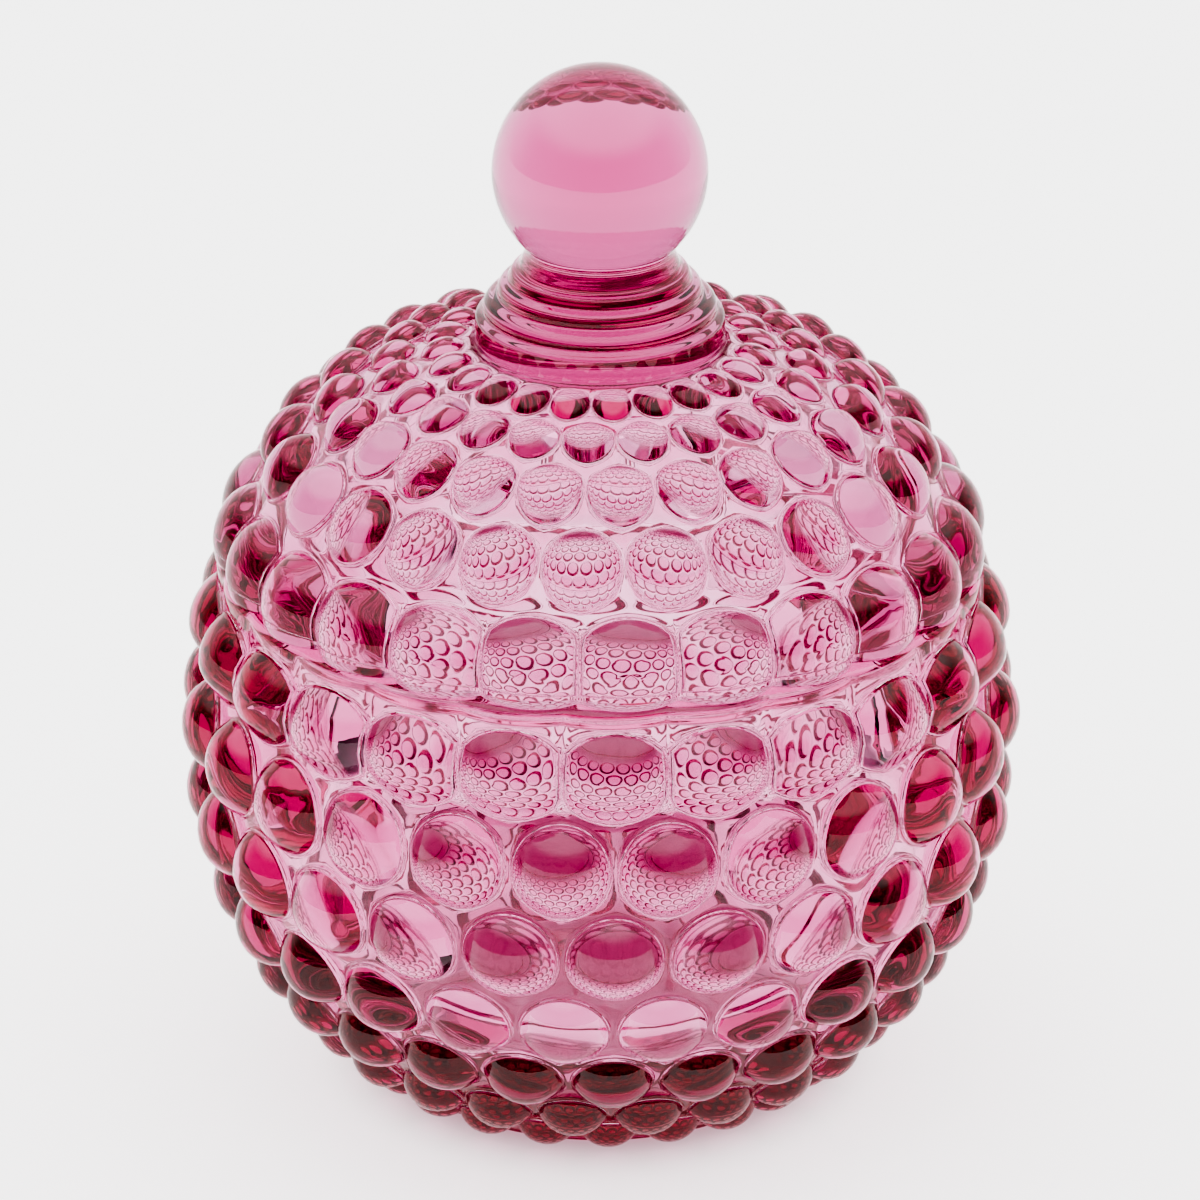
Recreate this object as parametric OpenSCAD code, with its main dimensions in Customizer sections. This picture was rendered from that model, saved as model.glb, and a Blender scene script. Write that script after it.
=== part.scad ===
// Round hobnail candy jar of pressed glass: a bowl and a loose domed lid with a ball knob.
// Millimetres, +Z up, origin at the centre of the foot, on the table.

/* [Bowl] */
// Radius of the bowl's wall at its widest, without the hobs
bowl_r = 49.8; // [47:0.1:52]
// Height of the bowl from the table to its rim
bowl_h = 70.8; // [70:0.1:72]
// Height of the bowl's widest level
belly_z = 45.5; // [44:0.5:47]
// Half-height of the ellipse that the wall follows below its widest level
belly_below = 53.5; // [51:0.5:56]
// Half-height of the ellipse that the wall follows above its widest level
belly_above = 95; // [85:1:120]
// Thickness of the bowl's wall between the hobs
bowl_wall = 4.6; // [4:0.1:5]
// Thickness of the bowl's floor
floor_t = 9.5; // [8:0.5:11]
// Squareness of the corner between the inside's floor and wall, 2 being an ellipse
inside_square = 3.3; // [2.6:0.1:3.6]
// Inner radius of the mouth
mouth_r = 43.2; // [42.5:0.1:43.6]
// Inner radius of the foot ring
foot_in_r = 23.5; // [20:0.5:24.5]
// Depth of the hollow inside the foot ring
foot_recess = 0.4; // [0.3:0.1:1]

/* [Lid] */
// Half-width of the ellipse that the lid's dome follows, a little more than its edge's radius
lid_r = 47.9; // [47:0.1:48.5]
// Depth of that ellipse's centre below the rim
lid_sink = 6.4; // [5:0.1:8]
// Height above the rim of the dome's highest point, inside the collar
lid_rise = 31.2; // [30:0.1:32]
// Thickness of the lid's wall between the hobs
lid_wall = 4.2; // [3:0.1:5]
// Depth that the lid's locating flange hangs into the mouth
flange_h = 4; // [3:0.5:6]
// Radial clearance between the flange and the mouth
flange_gap = 0.5; // [0.3:0.1:0.8]
// Radial thickness of the flange
flange_t = 2.6; // [2:0.1:3]

/* [Knob] */
// Radius of the ball knob
ball_r = 13.45; // [12:0.05:15]
// Height of the ball's centre above the rim
ball_rise = 51.2; // [50.5:0.1:53]
// Radius of the collar's lowest and widest step
collar_r = 15.6; // [15:0.1:16.5]
// Radius of the neck under the ball
neck_r = 9.3; // [8:0.1:10]

/* [Hobs] */
// Number of hobs in each row
hobs = 24; // [20:2:28]
// Share of the pitch that a hob is wide
hob_fill = 0.94; // [0.8:0.01:0.95]
// Height of a hob over its own radius
hob_bulge = 0.62; // [0.3:0.01:0.7]
// The same for the flatter rows beside the rim
rim_bulge = 0.38; // [0.25:0.01:0.6]
// Turn of the bowl's uppermost row from the front
bowl_turn = 2; // [0:0.5:15]
// Turn of the lid's lowest row from the front
lid_turn = 4; // [0:0.5:15]

/* [Hidden] */
$fn = 96;
hob_fn = 32;
glass = [0.87, 0.62, 0.72, 0.75];
// Heights of the rows of hobs: on the bowl from the table, and on the lid from the rim.
bowl_rows = [62.5, 50, 38, 26.5, 17, 9.5, 4.2];
lid_rows = [5, 14.9, 22, 25.7, 27.8];
pitch = 360 / hobs;
stem = 1.6;
eps = 0.5;
steps = 24;
// Above the belly the inside draws in by slope_in at slope_top below the rim, and is straight from
// mouth_deep below the rim.
slope_in = 0.5;
slope_top = 12.3;
mouth_deep = 6;
lid_half = lid_rise + lid_sink;
lid_in_r = mouth_r - flange_gap - flange_t;
flange_r = mouth_r - flange_gap;

// Radius at height z of an ellipse with half-width a and half-height b, centred at height c.
function ellipse_r(a, b, c, z) = a * sqrt(max(0, 1 - pow((z - c) / b, 2)));

// Half-height of the bowl's outer ellipse at height z.
function belly_half(z) = z < belly_z ? belly_below : belly_above;
function bowl_out(z) = ellipse_r(bowl_r, belly_half(z), belly_z, z);
function lid_out(z) = ellipse_r(lid_r, lid_half, bowl_h - lid_sink, z);

// Radius of a row's hobs, from the radius of the wall that they stand on.
function hob_size(r) = PI * r / hobs * hob_fill;

// A dome with radius size and the given height, on a short stem that roots it in the wall.
module hob(size, height) {
    cap_r = (size * size + height * height) / (2 * height);
    rotate_extrude($fn = hob_fn) intersection() {
        translate([0, height - cap_r]) circle(cap_r, $fn = 64);
        translate([0, -stem]) square([size, stem + height]);
    }
}

// One row of hobs at height z, where the wall has radius r and its face looks up by the angle lean.
module hob_row(r, z, lean, turn, bulge) {
    size = hob_size(r);
    for (i = [0 : hobs - 1])
        rotate([0, 0, -90 + turn + i * pitch])
            translate([r, 0, z])
                rotate([0, 90 - lean, 0])
                    hob(size, size * bulge);
}

// The bowl's rows, every other one turned by half a pitch.
module bowl_hobs() {
    for (k = [0 : len(bowl_rows) - 1]) {
        z = bowl_rows[k];
        r = bowl_out(z);
        lean = atan2((z - belly_z) / pow(belly_half(z), 2), r / pow(bowl_r, 2));
        hob_row(r, z, lean, bowl_turn + (k % 2) * pitch / 2, k == 0 ? rim_bulge : hob_bulge);
    }
}

// The lid's rows, staggered in the same way.
module lid_hobs() {
    for (k = [0 : len(lid_rows) - 1]) {
        z = bowl_h + lid_rows[k];
        r = lid_out(z);
        lean = atan2((lid_rows[k] + lid_sink) / pow(lid_half, 2), r / pow(lid_r, 2));
        hob_row(r, z, lean, lid_turn + (k % 2) * pitch / 2, k == 0 ? rim_bulge : hob_bulge);
    }
}

// The smooth inside of the bowl: a superellipse from the flat floor up to the belly, a short slope
// above it, and a straight mouth.
module bowl_cavity() {
    in_r = bowl_r - bowl_wall;
    depth = belly_z - floor_t;
    rotate_extrude() polygon(concat(
        [for (i = [0 : steps]) let (t = 90 * i / steps)
            [in_r * pow(sin(t), 2 / inside_square), belly_z - depth * pow(cos(t), 2 / inside_square)]],
        [[in_r - slope_in, bowl_h - slope_top], [mouth_r, bowl_h - mouth_deep],
         [mouth_r, bowl_h + eps], [0, bowl_h + eps]]
    ));
}

// The bowl: a belly with rows of hobs, hollowed from above and under its foot.
module bowl() {
    color(glass) difference() {
        union() {
            rotate_extrude() polygon(concat(
                [[0, 0]],
                [for (i = [0 : steps]) let (z = belly_z * i / steps) [bowl_out(z), z]],
                [for (i = [1 : 6]) let (z = belly_z + (bowl_h - belly_z) * i / 6) [bowl_out(z), z]],
                [[0, bowl_h]]
            ));
            bowl_hobs();
        }
        bowl_cavity();
        translate([0, 0, -eps]) cylinder(r = foot_in_r, h = eps + foot_recess);
    }
}

// The collar, stepped from the dome to the neck, with the solid ball on top.
module knob() {
    collar_edge = [
        [collar_r, 26], [collar_r, 32.5], [collar_r - 0.6, 33.1], [collar_r - 0.6, 34],
        [collar_r - 1.8, 35.3], [collar_r - 3.1, 36.6], [collar_r - 4.6, 37.9],
        [neck_r + 0.9, 39], [neck_r, 40.5], [neck_r, 43]
    ];
    translate([0, 0, bowl_h]) {
        rotate_extrude() polygon(concat([[0, 26]], collar_edge, [[0, 43]]));
        translate([0, 0, ball_rise]) sphere(ball_r);
    }
}

// The inside of the lid: the hollow dome, open downwards through the flange.
module lid_cavity() {
    in_half = lid_rise - lid_wall;
    rotate_extrude() polygon(concat(
        [[0, bowl_h - flange_h - eps], [lid_in_r, bowl_h - flange_h - eps]],
        [for (i = [0 : steps]) let (t = 90 * i / steps)
            [lid_in_r * cos(t), bowl_h + in_half * sin(t)]]
    ));
}

// The lid: a dome with rows of hobs, a stepped collar, a ball knob and a flange that centres it in the mouth.
module lid() {
    color(glass) difference() {
        union() {
            difference() {
                union() {
                    rotate_extrude() polygon(concat(
                        [[0, bowl_h]],
                        [for (i = [0 : steps]) let (t = 90 * i / steps, z = bowl_h + lid_rise * sin(t))
                            [lid_out(z), z]]
                    ));
                    lid_hobs();
                }
                translate([0, 0, bowl_h - 20]) cylinder(r = bowl_r + 10, h = 20);
            }
            translate([0, 0, bowl_h - flange_h]) cylinder(r = flange_r, h = flange_h + 1);
            knob();
        }
        lid_cavity();
    }
}

bowl();
lid();
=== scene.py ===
import math

import bpy
import numpy as np
from bpy.props import FloatProperty, FloatVectorProperty, IntProperty, PointerProperty
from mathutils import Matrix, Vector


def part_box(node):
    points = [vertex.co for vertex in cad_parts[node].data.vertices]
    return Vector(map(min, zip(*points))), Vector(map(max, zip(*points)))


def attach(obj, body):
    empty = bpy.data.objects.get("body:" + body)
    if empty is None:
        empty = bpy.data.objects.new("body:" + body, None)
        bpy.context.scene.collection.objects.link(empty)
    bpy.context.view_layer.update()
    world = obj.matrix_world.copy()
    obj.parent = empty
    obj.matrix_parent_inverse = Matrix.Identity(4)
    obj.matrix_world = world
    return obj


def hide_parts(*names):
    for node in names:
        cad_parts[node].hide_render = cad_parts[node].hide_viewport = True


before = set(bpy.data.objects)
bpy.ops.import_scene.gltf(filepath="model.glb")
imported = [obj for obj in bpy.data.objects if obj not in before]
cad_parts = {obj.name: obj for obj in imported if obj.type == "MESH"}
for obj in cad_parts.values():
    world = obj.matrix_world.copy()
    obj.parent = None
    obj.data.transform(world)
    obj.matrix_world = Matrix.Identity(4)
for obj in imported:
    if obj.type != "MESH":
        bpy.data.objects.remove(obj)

bl_info = {
    "name": "Hobnail candy jar",
    "version": (1, 0, 0),
    "blender": (4, 5, 0),
    "location": "3D View > Sidebar > Candy jar",
    "description": "A pressed-glass candy jar with rows of hobs, its loose lid, and the stage it stands on",
    "category": "Add Mesh",
}

MM = 0.001
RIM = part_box("bowl")[1][2] / MM
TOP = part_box("lid")[1][2] / MM
# Points across one hob's cell, and so the steps of every ring of the jar for each of its hobs.
STEPS = 12
# Rings of points from a hob's middle to its outline.
RINGS = 8


# ---- Surfaces -------------------------------------------------------------------------------

def smooth_line(points, count):
    """Points at even steps of length along a Catmull-Rom curve: each span is the cubic that passes
    through its two ends with the slope of the chord between their neighbours."""
    p = np.array(points, float)
    p = np.vstack([2 * p[0] - p[1], p, 2 * p[-1] - p[-2]])
    t = np.linspace(0, 1, 60, endpoint=False)[:, None]
    spans = []
    for a, b, c, d in zip(p[:-3], p[1:-2], p[2:-1], p[3:]):
        spans.append(0.5 * (2 * b + (c - a) * t + (2 * a - 5 * b + 4 * c - d) * t ** 2
                            + (3 * b - a - 3 * c + d) * t ** 3))
    line = np.vstack(spans + [p[-2:-1]])
    return even_steps(line, count)


def even_steps(line, count):
    """The same line with count points spaced evenly along its length."""
    length = np.concatenate([[0], np.cumsum(np.hypot(*np.diff(line, axis=0).T))])
    at = np.linspace(0, length[-1], count)
    return np.column_stack([np.interp(at, length, line[:, 0]), np.interp(at, length, line[:, 1])])


def arc(centre, radius, start, end, count):
    """Points on a circle in the plane of radius and height, from one angle to another in degrees."""
    t = np.radians(np.linspace(start, end, count))
    return np.column_stack([centre[0] + radius * np.cos(t), centre[1] + radius * np.sin(t)])


def bowl_curve(wide, deep, level, power):
    """Points on a quarter of a superellipse, from its side at this level down to its lowest point on the
    axis: the sum of radius over wide and depth over deep, each raised to this power, is 1."""
    t = np.radians(np.linspace(0, 90, 400))
    return np.column_stack([wide * np.cos(t) ** (2 / power), level - deep * np.sin(t) ** (2 / power)])


class Wall:
    """The outline of a wall between its hobs, as radius, height and outward normal for each length
    along it. It runs upwards through points of radius and height, in millimetres."""

    def __init__(self, points):
        self.line = smooth_line(points, 2001)
        step = np.gradient(self.line, axis=0)
        step /= np.hypot(*step.T)[:, None]
        self.normal = np.column_stack([step[:, 1], -step[:, 0]])
        self.length = np.concatenate([[0], np.cumsum(np.hypot(*np.diff(self.line, axis=0).T))])

    def at_height(self, z):
        """Length along the outline up to this height."""
        return float(np.interp(z, self.line[:, 1], self.length))

    def radius(self, s):
        """Radius of the wall at this length."""
        return np.interp(s, self.length, self.line[:, 0])

    def place(self, azimuth, s, lift):
        """Points at these azimuths and lengths, lifted off the wall along its normal."""
        r = self.radius(s) + lift * np.interp(s, self.length, self.normal[:, 0])
        z = np.interp(s, self.length, self.line[:, 1]) + lift * np.interp(s, self.length, self.normal[:, 1])
        r, z, azimuth = np.broadcast_arrays(r, z, azimuth)
        return np.stack([r * np.sin(azimuth), -r * np.cos(azimuth), z], axis=-1)


def dome(rho, half_width, bulge, fillet):
    """Height of a cap of a sphere at rho times its radius. Past its edge it goes on straight down, and
    a parabola as wide as the fillet joins it to the wall at height 0."""
    ball = (half_width ** 2 + bulge ** 2) / (2 * bulge)
    inside = np.sqrt(np.maximum(ball ** 2 - (np.minimum(rho, 1) * half_width) ** 2, 0)) - (ball - bulge)
    slope = half_width / (ball - bulge)
    cap = np.where(rho > 1, -(rho - 1) * half_width * slope, inside)
    return np.where(cap > fillet, cap, np.where(cap < -fillet, 0, (cap + fillet) ** 2 / (4 * fillet)))


def hob_cell(wall, row, pitch, turn):
    """One row of hobs as a polar patch each: rays from a hob's middle to its six-sided cell, and rings
    that follow the hob's round outline. Neighbouring cells share their edges point for point. A row
    beside the rim has a ridge too: its height falls off with the square of the distance from the hob's
    middle line, and hob and ridge join as the cube root of the sum of their cubes.
    Returns the points as an array (hob, ring, ray, xyz), ring 0 being the middle."""
    s0, low, high = row["s"], row["low"], row["high"]
    half = pitch / 2
    corners = [(0, low[0]), (half, low[1]), (half, high[1]),
               (0, high[0]), (-half, high[1]), (-half, low[1])]
    edge = []
    for (xa, ya), (xb, yb) in zip(corners, corners[1:] + corners[:1]):
        t = np.arange(STEPS // 2) / (STEPS // 2)
        edge.append(np.column_stack([xa + (xb - xa) * t, ya + (yb - ya) * t]))
    edge = np.vstack(edge) - [0, s0]

    def rho(x, y):
        """Distance from the hob's middle as a share of its outline."""
        tall = np.where(y > 0, row["up"], row["down"])
        return np.hypot(x * wall.radius(s0 + y) / row["wide"], y / tall)

    # The share of each ray at which it meets the outline, found by repeated division. The rings crowd
    # towards the outline, where a hob bends most, and three more lie between it and the cell's edge.
    reach = np.ones(len(edge))
    for _ in range(6):
        reach /= rho(edge[:, 0] * reach, edge[:, 1] * reach)
    reach = np.minimum(reach, 0.96)
    inner = np.sin(np.linspace(0, math.pi / 2, RINGS + 1)) ** 0.9
    inner = np.concatenate([inner[:-1], [0.97, 1.0]])
    outer = np.array([0.2, 0.5, 1.0])
    share = np.concatenate([inner[:, None] * reach, reach + outer[:, None] * (1 - reach)])
    x, y = edge[:, 0] * share, edge[:, 1] * share
    lift = dome(rho(x, y), row["wide"], row["bulge"], row["fillet"])
    if "ridge" in row:
        swell = row["ridge"](s0 + y) * (1 - (x / half) ** 2)
        lift = (lift ** 3 + swell ** 3) ** (1 / 3)
    hob = np.arange(row["count"])[:, None, None] * pitch + turn + row["shift"] * half
    return wall.place(hob + x, s0 + y, lift)


def patch_faces(hobs, rings, rays, first):
    """Quads between rings, with a fan of triangles at each hob's middle. Point 0 of a hob's ring 0
    stands for the whole of that ring."""
    n = np.arange(hobs)[:, None, None] * rings * rays + first
    i = np.arange(1, rings - 1)[None, :, None] * rays
    j = np.arange(rays)[None, None, :]
    k = (j + 1) % rays
    quads = np.stack([n + i + j, n + i + rays + j, n + i + rays + k, n + i + k], axis=-1).reshape(-1, 4)
    tris = np.stack([n + 0 * j, n + rays + j, n + rays + k], axis=-1).reshape(-1, 3)
    return quads, tris


def turned(line, azimuths):
    """The line swept round the axis: one ring of points for each of its points."""
    r, z = np.asarray(line, float).T[:, :, None]
    return np.stack([r * np.sin(azimuths), -r * np.cos(azimuths), z + 0 * azimuths], axis=-1)


def grid_faces(rings, around, first):
    """Quads of a closed band of rings. Rings run upwards on a face that looks outwards."""
    i = np.arange(rings - 1)[:, None] * around + first
    j = np.arange(around)[None, :]
    k = (j + 1) % around
    return np.stack([i + j, i + k, i + around + k, i + around + j], axis=-1).reshape(-1, 4)


def closed_mesh(name, points, quads, tris):
    """Welds points that fall on the same twenty-thousandth of a millimetre, drops faces that close up
    to nothing, and makes the object. Every edge has to join two faces."""
    key, index = np.unique(np.round(points * 2e4).astype(np.int64), axis=0, return_inverse=True)
    index = index.reshape(-1)
    welded = np.zeros((len(key), 3))
    welded[index] = points
    faces = [list(dict.fromkeys(f)) for f in index[quads].tolist() + index[tris].tolist()]
    faces = [f for f in faces if len(f) > 2]
    mesh = bpy.data.meshes.new(name)
    mesh.from_pydata(welded * MM, [], faces)
    mesh.update()
    mesh.polygons.foreach_set("use_smooth", np.ones(len(mesh.polygons), bool))
    piece = bpy.data.objects.new(name, mesh)
    bpy.context.scene.collection.objects.link(piece)
    uses = np.zeros(len(mesh.edges), int)
    side = np.empty(len(mesh.loops), int)
    mesh.loops.foreach_get("edge_index", side)
    np.add.at(uses, side, 1)
    if (uses != 2).any():
        raise RuntimeError(f"{name} has {(uses != 2).sum()} edges that don't join two faces")
    return piece


def hob_rows(wall, heights, settings, borders=None):
    """Cells for rows of hobs at these heights. The border between two rows is a zigzag: it stands a
    sixth of their distance above the middle over a lower hob, and as far below it under an upper hob.
    borders gives other heights of those two points. The first and last rows end on a level line. A hob
    is as tall as its cell has room for, and at most tall times its half-width."""
    pitch = 2 * math.pi / settings["count"]
    s = [wall.at_height(z) for z in heights]
    end = wall.length[-1]
    zigzag = [(0.0, 0.0)]
    for k in range(len(s) - 1):
        middle, swing = (s[k] + s[k + 1]) / 2, (s[k + 1] - s[k]) / 6
        pair = (borders or {}).get(k)
        zigzag.append([wall.at_height(z) for z in pair] if pair else (middle + swing, middle - swing))
    zigzag.append((end, end))
    rows = []
    for k, s0 in enumerate(s):
        rows.append({
            "s": s0, "count": settings["count"], "shift": k % 2,
            "low": (zigzag[k][1], zigzag[k][0]), "high": (zigzag[k + 1][0], zigzag[k + 1][1]),
            "fillet": settings["fillet"],
        })
    for row in rows:
        wide = pitch / 2 * wall.radius(row["s"]) * settings["fill"]
        row["wide"] = wide
        row["bulge"] = wide * settings["bulge"]
        margin = 1 + 2.2 * settings["fillet"] / wide
        for side, (tip, flank) in (("down", row["low"]), ("up", row["high"])):
            t = np.linspace(0, 1, 40)[:-1]
            at = tip + (flank - tip) * t
            across = pitch / 2 * t * wall.radius(at) / wide
            room = np.abs(at - row["s"]) / np.sqrt(np.maximum(margin ** 2 - across ** 2, 1e-6))
            row[side] = min(float(room.min()), wide * settings["tall"])
    return rows, pitch


def build_rows(wall, rows, pitch, turn):
    """Points and faces of all rows together."""
    points, quads, tris, first = [], [], [], 0
    for row in rows:
        cell = hob_cell(wall, row, pitch, turn)
        q, t = patch_faces(*cell.shape[:3], first)
        points.append(cell.reshape(-1, 3))
        quads.append(q)
        tris.append(t)
        first += len(points[-1])
    return np.vstack(points), np.vstack(quads), np.vstack(tris)


def outer_ring(wall, row, pitch, turn, top):
    """The ring of points where the first or last row ends on its level line."""
    cell = hob_cell(wall, row, pitch, turn)[:, -1]
    half = STEPS // 2
    rays = np.arange(2 * half, 4 * half) if top else np.arange(-half, half) % (6 * half)
    ring = cell[:, rays].reshape(-1, 3)
    around = np.arctan2(ring[:, 0], -ring[:, 1])
    return ring[np.argsort(np.mod(around - turn + 1e-9, 2 * math.pi))]


def ease(t):
    """0 below 0, 1 above 1, and a smooth step between."""
    t = np.clip(t, 0, 1)
    return t * t * (3 - 2 * t)


def rounded_edge(start, flat_r, flat_z, size, count):
    """From a ring of points, a quarter round up or down to the level flat_z, then flat in to flat_r."""
    r = np.hypot(start[:, 0], start[:, 1])
    x, y = start[:, 0] / r, start[:, 1] / r
    turn = np.linspace(0, math.pi / 2, count + 1)[:, None]
    ring_r = r - size * (1 - np.cos(turn))
    ring_z = start[:, 2] + (flat_z - start[:, 2]) * np.sin(turn)
    across = np.array([0.05, 0.5, 0.95, 1.0])[:, None]
    last = ring_r[-1]
    ring_r = np.vstack([ring_r, last + (flat_r - last) * across])
    ring_z = np.vstack([ring_z, np.full((4, len(r)), flat_z)])
    return np.stack([ring_r * x, ring_r * y, ring_z], axis=-1)


def add_bands(points, quads, bands, flip):
    """Adds bands of rings that follow one another, from a rim inwards. Flip turns their faces over."""
    rings = np.concatenate(bands)
    faces = grid_faces(len(rings), rings.shape[1], len(points))
    if flip:
        faces = faces[:, ::-1]
    return np.vstack([points, rings.reshape(-1, 3)]), np.vstack([quads, faces])


# ---- Materials ------------------------------------------------------------------------------

def linear(hex_colour):
    """An sRGB hex colour as linear RGBA."""
    c = np.array([int(hex_colour[i:i + 2], 16) for i in (1, 3, 5)]) / 255
    c = np.where(c <= 0.04045, c / 12.92, ((c + 0.055) / 1.055) ** 2.4)
    return (*c.tolist(), 1.0)


def node(tree, kind, settings=None, links=None):
    """Adds a node, sets its properties and sockets, and links sockets of other nodes to its own."""
    made = tree.nodes.new(kind)
    for name, value in (settings or {}).items():
        if isinstance(name, str) and hasattr(made, name):
            setattr(made, name, value)
        else:
            made.inputs[name].default_value = value
    for name, socket in (links or {}).items():
        tree.links.new(socket, made.inputs[name])
    return made


def new_material(name):
    """An empty material, and its node tree."""
    material = bpy.data.materials.new(name)
    material.use_nodes = True
    material.node_tree.nodes.clear()
    return material, material.node_tree


def pressed_pink_glass(name, tint, density):
    """Soda-lime glass coloured pink through its mass with a trace of selenium, pressed and fire-polished.
    It is clear, with a faint swell about 9 mm long left by the mould, and turns crimson where one looks
    along it."""
    look = bpy.context.scene.candy_jar_glass
    material, tree = new_material(name)
    place = node(tree, "ShaderNodeTexCoord").outputs["Object"]
    swell = node(tree, "ShaderNodeTexNoise", {"Scale": 1 / (9 * MM), "Detail": 2.0, "Roughness": 0.4},
                 {"Vector": place})
    bump = node(tree, "ShaderNodeBump", {"Strength": 0.25, "Distance": 0.15 * MM},
                {"Height": swell.outputs[0]})
    glass = node(tree, "ShaderNodeBsdfPrincipled", {
        "Base Color": (1, 1, 1, 1), "Roughness": 0.0, "IOR": look.ior, "Transmission Weight": 1.0,
    }, {"Normal": bump.outputs[0]})
    mass = node(tree, "ShaderNodeVolumeAbsorption", {"Color": (*tint, 1.0), "Density": density})
    node(tree, "ShaderNodeOutputMaterial", None, {"Surface": glass.outputs[0], "Volume": mass.outputs[0]})
    return material


def white_paper():
    """A roll of matt white paper, lit from behind, which gives an even pale ground with hardly a shadow.
    Its glow is turned down under the jar's foot to paint the shadow there, where light only comes through
    the glass."""
    studio = bpy.context.scene.candy_jar_studio
    material, tree = new_material("white_paper")
    place = node(tree, "ShaderNodeTexCoord").outputs["Object"]
    out = node(tree, "ShaderNodeVectorMath", {"operation": "LENGTH"}, {0: place})
    # Painted shadow: the paper's glow drops to a dim value under the jar's foot, smoothly between 24 and 38
    # mm from the middle.
    glow_with_painted_shadow = node(tree, "ShaderNodeMapRange", {
        "interpolation_type": "SMOOTHSTEP", "From Min": 24 * MM, "From Max": 38 * MM,
        "To Min": studio.glow_in_painted_foot_shadow, "To Max": studio.paper_glow}, {"Value": out.outputs["Value"]})
    paper = node(tree, "ShaderNodeBsdfPrincipled", {
        "Base Color": (*studio.paper, 1.0), "Roughness": 0.9, "Emission Color": (1, 1, 1, 1),
    }, {"Emission Strength": glow_with_painted_shadow.outputs[0]})
    node(tree, "ShaderNodeOutputMaterial", None, {"Surface": paper.outputs[0]})
    return material


# ---- Settings -------------------------------------------------------------------------------

class CANDYJAR_PG_hobs(bpy.types.PropertyGroup):
    count: IntProperty(name="Hobs in a row", description="Number of hobs round the jar", default=24, min=12)
    fill: FloatProperty(
        name="Bowl's fill", description="Share of the pitch that a hob of the bowl is wide", default=0.95,
        subtype="FACTOR", min=0.5, max=1)
    lid_fill: FloatProperty(
        name="Lid's fill", description="Share of the pitch that a hob of the lid is wide", default=0.97,
        subtype="FACTOR", min=0.5, max=1)
    bulge: FloatProperty(name="Bulge", description="Height of a hob over its own radius", default=0.62)
    bowl_turn: FloatProperty(
        name="Bowl's turn", description="Turn of the bowl's uppermost row from the front",
        default=math.radians(2.1), subtype="ANGLE")
    lid_turn: FloatProperty(
        name="Lid's turn", description="Turn of the lid's lowest row from the front",
        default=math.radians(4.3), subtype="ANGLE")


class CANDYJAR_PG_body(bpy.types.PropertyGroup):
    floor: FloatProperty(
        name="Floor", description="Thickness of the bowl's floor", default=9.5 * MM, unit="LENGTH")
    flange: FloatProperty(
        name="Flange", description="Depth that the lid's flange hangs into the mouth", default=4.0 * MM,
        unit="LENGTH")
    ball: FloatProperty(
        name="Ball", description="Radius of the ball knob", default=13.45 * MM, unit="LENGTH")


class CANDYJAR_PG_glass(bpy.types.PropertyGroup):
    bowl_tint: FloatVectorProperty(
        name="Bowl's tint", description="Colour that the bowl's glass lets through", subtype="COLOR",
        default=linear("#E83FB5")[:3], min=0, max=1)
    bowl_density: FloatProperty(
        name="Bowl's depth of tint", description="How much a metre of the bowl's glass takes out",
        default=118.0)
    lid_tint: FloatVectorProperty(
        name="Lid's tint", description="Colour that the lid's glass lets through", subtype="COLOR",
        default=linear("#E865BC")[:3], min=0, max=1)
    lid_density: FloatProperty(
        name="Lid's depth of tint", description="How much a metre of the lid's glass takes out",
        default=95.0)
    ior: FloatProperty(
        name="Index of refraction", description="How strongly the glass bends light", default=1.52)


class CANDYJAR_PG_studio(bpy.types.PropertyGroup):
    paper: FloatVectorProperty(
        name="Paper", description="Colour of the paper that the jar stands on", subtype="COLOR",
        default=linear("#CBCBCB")[:3], min=0, max=1)
    paper_glow: FloatProperty(
        name="Paper's glow", description="Light that comes through the paper", default=0.7)
    # The paper's glow under the jar's foot, turned down to paint the shadow that the jar casts there.
    glow_in_painted_foot_shadow: FloatProperty(
        name="Glow in the painted shadow under the foot", description="Dimmed glow of the paper under the jar, a painted shadow",
        default=0.15)
    overhead: FloatProperty(name="Overhead", description="Strength of the light overhead", default=1.6)
    behind: FloatProperty(name="Behind", description="Strength of the wall behind the jar", default=1.0)
    front: FloatProperty(name="Front", description="Strength of the room before the jar", default=0.04)
    distance: FloatProperty(
        name="Distance", description="From the camera to the jar's middle", default=0.840, unit="LENGTH")
    aim: FloatProperty(
        name="Aim", description="Height that the distance is measured from", default=0.050, unit="LENGTH")
    rise: FloatProperty(
        name="Rise", description="Angle at which the camera looks down on the jar",
        default=math.radians(25.4), subtype="ANGLE")
    lift: FloatProperty(
        name="Lift", description="Angle by which the camera looks higher than the jar's middle",
        default=math.radians(0.8447), subtype="ANGLE")
    lens: FloatProperty(name="Lens", description="Focal length in millimetres", default=196.56)


# ---- Operators ------------------------------------------------------------------------------

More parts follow.
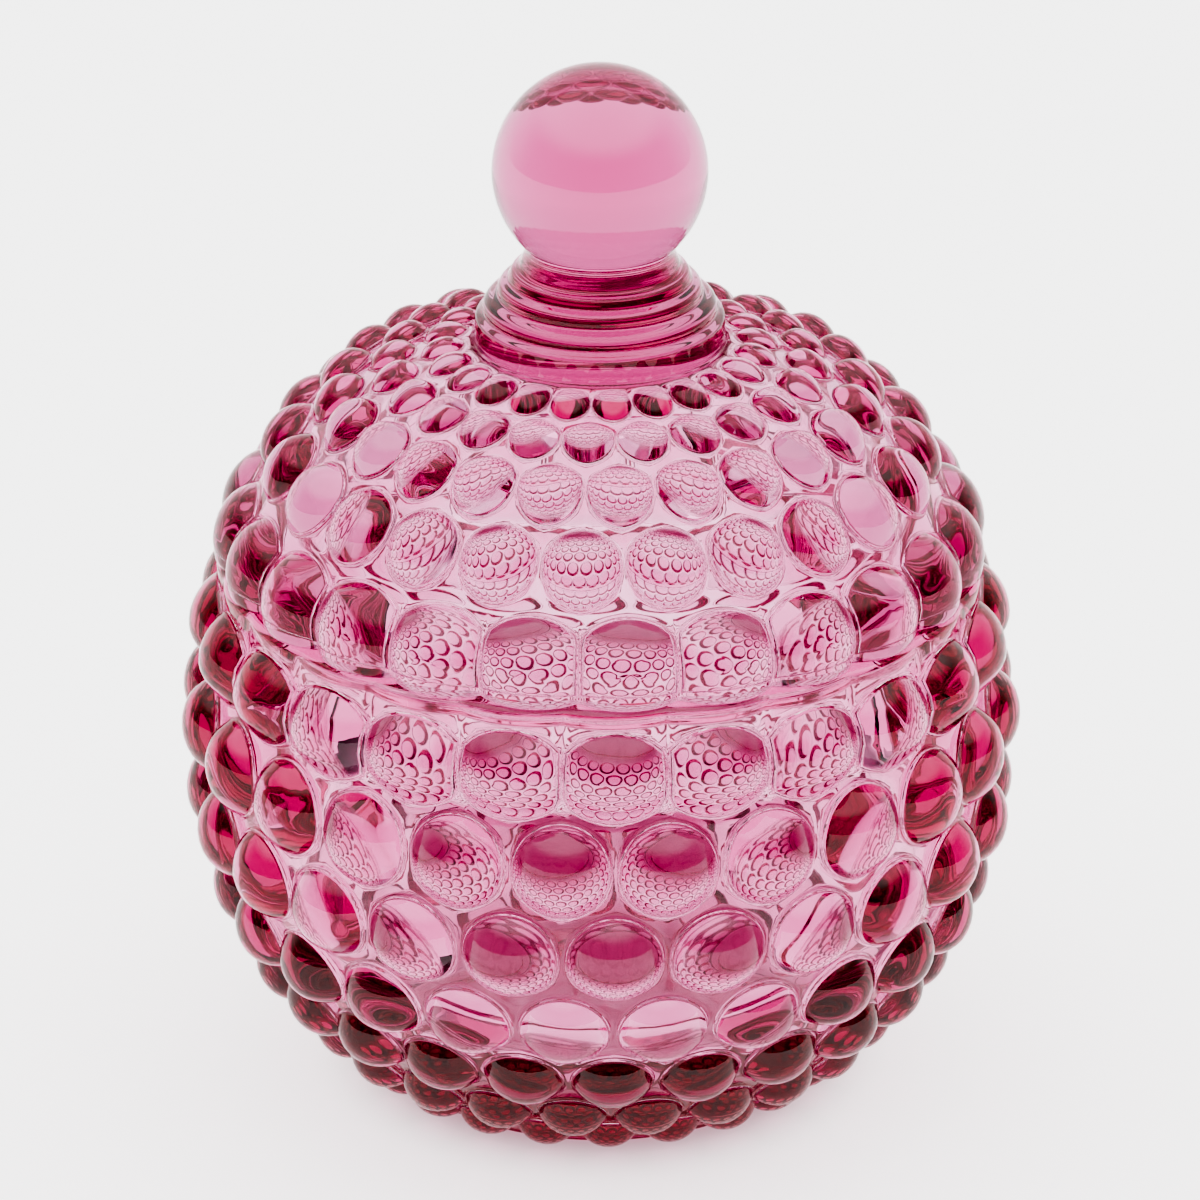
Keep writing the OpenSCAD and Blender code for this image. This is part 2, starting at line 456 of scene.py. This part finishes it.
class CANDYJAR_OT_bowl(bpy.types.Operator):
    """Makes the bowl: rows of hobs on a round wall, a thick rim, a smooth inside and a foot ring"""
    bl_idname = "candyjar.bowl"
    bl_label = "Bowl"

    def execute(self, context):
        hobs, look = context.scene.candy_jar_hobs, context.scene.candy_jar_glass
        floor = context.scene.candy_jar_body.floor / MM
        rim_round, rim_in, mouth_r = 1.0, 43.8, 43.2
        belly_r, belly_z, squareness = 45.2, 46.5, 3.3
        wall = Wall([(27.2, 0.6), (31, 4.2), (36.4, 9.2), (42.4, 17.3), (46.6, 26.3), (49.4, 37.6), (50, 50),
                     (49.5, 54.8), (48.3, 60), (48.0, RIM - rim_round)])
        rows, pitch = hob_rows(wall, [4.2, 9.2, 17.3, 26.3, 37.6, 50, 61.5], {
            "count": hobs.count, "fill": hobs.fill, "bulge": hobs.bulge, "fillet": 0.3, "tall": 1.06},
            {5: (57.4, 55.1)})
        top = rows[-1]
        swell_from, swell_to = wall.at_height(66), wall.at_height(70)
        top.update(wide=7.4, down=5.5, up=6.6, bulge=4.2, fillet=0.15,
                   ridge=lambda s: 0.6 * ease((s - swell_from) / (swell_to - swell_from)))
        turn = hobs.bowl_turn
        points, quads, tris = build_rows(wall, rows, pitch, turn)
        azimuths = turn + np.arange(hobs.count * STEPS) * pitch / STEPS
        start = outer_ring(wall, top, pitch, turn, True)
        end = outer_ring(wall, rows[0], pitch, turn, False)
        rim = rounded_edge(start, rim_in, RIM, rim_round, 5)
        inside = np.vstack([
            arc((rim_in, RIM - 0.6), rim_in - mouth_r, 90, 180, 5)[1:],
            smooth_line([(mouth_r, RIM - 0.7), (43.25, 66), (44.6, 60), (45.15, 51)], 16)[:-1],
            even_steps(bowl_curve(belly_r, belly_z - floor, belly_z, squareness), 48),
        ])
        foot = np.vstack([
            even_steps(np.array([(26.2, 0.0), (23.9, 0.0)]), 4),
            smooth_line([(23.7, 0.05), (23.3, 0.2), (22.9, 0.36), (22.4, 0.4)], 5),
            even_steps(np.array([(22.0, 0.4), (0.0, 0.4)]), 12),
        ])
        foot_edge = rounded_edge(end, 26.3, 0.0, 0.6, 4)
        points, quads = add_bands(points, quads, [rim, turned(inside, azimuths)], flip=False)
        points, quads = add_bands(points, quads, [foot_edge, turned(foot, azimuths)], flip=True)
        bowl = closed_mesh("bowl_glass", points, quads, tris)
        glass = pressed_pink_glass("pressed_pink_glass", look.bowl_tint, look.bowl_density)
        bowl.data.materials.append(glass)
        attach(bowl, "bowl")
        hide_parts("bowl")
        return {"FINISHED"}


class CANDYJAR_OT_lid(bpy.types.Operator):
    """Makes the lid: a dome with rows of hobs, a stepped collar, a solid ball and a flange underneath"""
    bl_idname = "candyjar.lid"
    bl_label = "Lid"

    def execute(self, context):
        hobs, look = context.scene.candy_jar_hobs, context.scene.candy_jar_glass
        body = context.scene.candy_jar_body
        gap, neck_r, mouth_r = 0.03, 9.3, 43.2
        seat = RIM + gap
        wall = Wall([(46.4, seat + 1.2), (45.8, 74.0), (44.4, 78.0), (42.2, 81.6), (39.1, 85.7),
                     (32.4, 92.75), (25.6, 96.5), (19.4, 98.7), (15.9, 99.6)])
        rows, pitch = hob_rows(wall, [75.0, 85.7, 92.75, 96.5, 98.6], {
            "count": hobs.count, "fill": hobs.lid_fill, "bulge": hobs.bulge, "fillet": 0.25, "tall": 1.17},
            {0: (82.0, 80.6)})
        edge_row = rows[0]
        edge_row.update(wide=7.1, up=6.4, down=6.0, bulge=3.3, fillet=0.15,
                        ridge=lambda s: 1.3 * (1 - ease((s - wall.at_height(72.5)) / 3)))
        turn = hobs.lid_turn
        points, quads, tris = build_rows(wall, rows, pitch, turn)
        azimuths = turn + np.arange(hobs.count * STEPS) * pitch / STEPS
        start = outer_ring(wall, edge_row, pitch, turn, False)
        last = outer_ring(wall, rows[-1], pitch, turn, True)
        ball_r = body.ball / MM
        ball_z = TOP - ball_r
        collar = np.vstack([
            arc((16.2, 100.1), 0.5, 250, 180, 4),
            even_steps(np.array([(15.65, 100.5), (15.6, 102.6)]), 4),
            arc((15.0, 102.7), 0.6, 0, 70, 5),
            arc((15.1, 103.9), 0.5, 250, 180, 4)[1:],
            arc((13.0, 104.0), 1.7, 5, 75, 6),
            arc((13.3, 106.2), 0.5, 240, 170, 4),
            arc((11.4, 106.4), 1.4, 5, 75, 6),
            arc((11.8, 108.2), 0.4, 240, 170, 4),
            arc((10.2, 108.3), 1.1, 5, 80, 5),
            arc((10.6, 110.2), 0.7, 240, 180, 4),
            even_steps(np.array([(9.7, 110.6), (9.45, 111.4)]), 3),
        ])
        ball = arc((0, ball_z), ball_r, -math.degrees(math.acos(neck_r / ball_r)), 90, 48)
        knob = turned(np.vstack([collar, ball]), azimuths)
        deep = body.flange / MM
        outer = rounded_edge(start, mouth_r, seat, 0.5, 4)
        under = np.vstack([
            arc((43.1, seat - 0.4), 0.4, 90, 180, 4),
            even_steps(np.array([(42.7, seat - 0.6), (42.7, seat - deep + 0.6)]), 4),
            arc((42.2, seat - deep + 0.5), 0.5, 0, -90, 4),
            even_steps(np.array([(42.0, seat - deep), (40.8, seat - deep)]), 3),
            arc((40.6, seat - deep + 0.5), 0.5, -90, -180, 4),
            smooth_line([(40.1, seat - deep + 0.8), (40.1, seat), (38.8, 77.6), (36.0, 82.2), (31.6, 87.4),
                         (25.6, 91.6), (17.5, 94.9), (8, 96.6), (0.0, 97.0)], 50),
        ])
        points, quads = add_bands(points, quads, [last[None], knob], flip=False)
        points, quads = add_bands(points, quads, [outer, turned(under, azimuths)], flip=True)
        lid = closed_mesh("lid_glass", points, quads, tris)
        glass = pressed_pink_glass("pressed_pale_pink_glass", look.lid_tint, look.lid_density)
        lid.data.materials.append(glass)
        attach(lid, "lid")
        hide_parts("lid")
        return {"FINISHED"}


class CANDYJAR_OT_stage(bpy.types.Operator):
    """Sets the stage: a pale floor that sweeps up behind the jar, soft lights and the camera"""
    bl_idname = "candyjar.stage"
    bl_label = "Stage"

    def execute(self, context):
        bend, drop, across = 900.0, 0.05, 7
        sweep = np.vstack([
            even_steps(np.array([(-2500.0, 0.0), (bend, 0.0)]), 8),
            arc((bend, bend), bend, -90, 0, 24),
            even_steps(np.array([(2 * bend, bend), (2 * bend, 3000.0)]), 4),
        ])
        x, y, z = np.broadcast_arrays(np.linspace(-3000, 3000, across), sweep[:, :1], sweep[:, 1:] - drop)
        pts = np.stack([x, y, z], axis=-1).reshape(-1, 3)
        i = np.arange(len(sweep) - 1)[:, None] * across
        j = np.arange(across - 1)[None]
        faces = np.stack([i + j, i + j + 1, i + across + j + 1, i + across + j], axis=-1).reshape(-1, 4)
        mesh = bpy.data.meshes.new("floor")
        mesh.from_pydata(pts * MM, [], faces.tolist())
        mesh.polygons.foreach_set("use_smooth", np.ones(len(faces), bool))
        floor = bpy.data.objects.new("floor", mesh)
        context.scene.collection.objects.link(floor)
        mesh.materials.append(white_paper())
        world = bpy.data.worlds.new("studio")
        context.scene.world = world
        world.use_nodes = True
        studio_light(world.node_tree)
        add_camera(context)
        return {"FINISHED"}


def studio_light(tree):
    """A studio as seen from the jar: a broad soft light overhead, a paler wall behind, and a dark room
    on the side that the jar is looked at from."""
    studio = bpy.context.scene.candy_jar_studio
    tree.nodes.clear()
    toward = node(tree, "ShaderNodeSeparateXYZ", None,
                  {"Vector": node(tree, "ShaderNodeTexCoord").outputs["Generated"]})
    overhead = node(tree, "ShaderNodeMapRange", {
        "interpolation_type": "SMOOTHSTEP", "From Min": 0.45, "From Max": 0.8},
        {"Value": toward.outputs["Z"]})
    wall = node(tree, "ShaderNodeMapRange", {
        "interpolation_type": "SMOOTHSTEP", "From Min": -0.2, "From Max": 0.6, "To Min": studio.front,
        "To Max": studio.behind}, {"Value": toward.outputs["Y"]})
    strength = node(tree, "ShaderNodeMix", {"data_type": "FLOAT", 3: studio.overhead},
                    {0: overhead.outputs[0], 2: wall.outputs[0]})
    glow = node(tree, "ShaderNodeBackground", {"Color": (1, 1, 1, 1)}, {"Strength": strength.outputs[0]})
    node(tree, "ShaderNodeOutputWorld", None, {"Surface": glow.outputs[0]})


def add_camera(context):
    """The camera, on a circle round the jar at its distance and rise, and the number of times that light
    may bounce in the glass. Glossy blur is off, because it would dull what the hobs show."""
    studio = context.scene.candy_jar_studio
    camera = bpy.data.cameras.new("camera")
    camera.sensor_width = 36
    camera.lens = studio.lens
    eye = bpy.data.objects.new("camera", camera)
    eye.location = (0, -studio.distance * math.cos(studio.rise),
                    studio.aim + studio.distance * math.sin(studio.rise))
    eye.rotation_euler = (math.pi / 2 - studio.rise + studio.lift, 0, 0)
    context.scene.collection.objects.link(eye)
    context.scene.camera = eye
    cycles = context.scene.cycles
    cycles.max_bounces = 40
    cycles.transmission_bounces = 40
    cycles.glossy_bounces = 24
    cycles.blur_glossy = 0.0
    context.scene.view_settings.view_transform = "AgX"
    context.scene.view_settings.look = "AgX - Very High Contrast"
    context.scene.view_settings.exposure = 0.15


class CANDYJAR_PT_panel(bpy.types.Panel):
    """Lists the pieces and their settings"""
    bl_label = "Candy jar"
    bl_space_type = "VIEW_3D"
    bl_region_type = "UI"
    bl_category = "Candy jar"

    def draw(self, context):
        for name, group in GROUPS.items():
            for setting in group.__annotations__:
                self.layout.prop(getattr(context.scene, name), setting)
        for operator in OPERATORS:
            self.layout.operator(operator.bl_idname)


OPERATORS = (CANDYJAR_OT_bowl, CANDYJAR_OT_lid, CANDYJAR_OT_stage)
GROUPS = {
    "candy_jar_hobs": CANDYJAR_PG_hobs,
    "candy_jar_body": CANDYJAR_PG_body,
    "candy_jar_glass": CANDYJAR_PG_glass,
    "candy_jar_studio": CANDYJAR_PG_studio,
}
CLASSES = (*GROUPS.values(), *OPERATORS, CANDYJAR_PT_panel)


def register():
    for cls in CLASSES:
        bpy.utils.register_class(cls)
    for name, group in GROUPS.items():
        setattr(bpy.types.Scene, name, PointerProperty(type=group))


def unregister():
    for name in GROUPS:
        delattr(bpy.types.Scene, name)
    for cls in reversed(CLASSES):
        bpy.utils.unregister_class(cls)


def main():
    """Makes every piece and the stage."""
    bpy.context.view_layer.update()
    register()
    bpy.ops.candyjar.bowl()
    bpy.ops.candyjar.lid()
    bpy.ops.candyjar.stage()


if __name__ == "__main__":
    main()
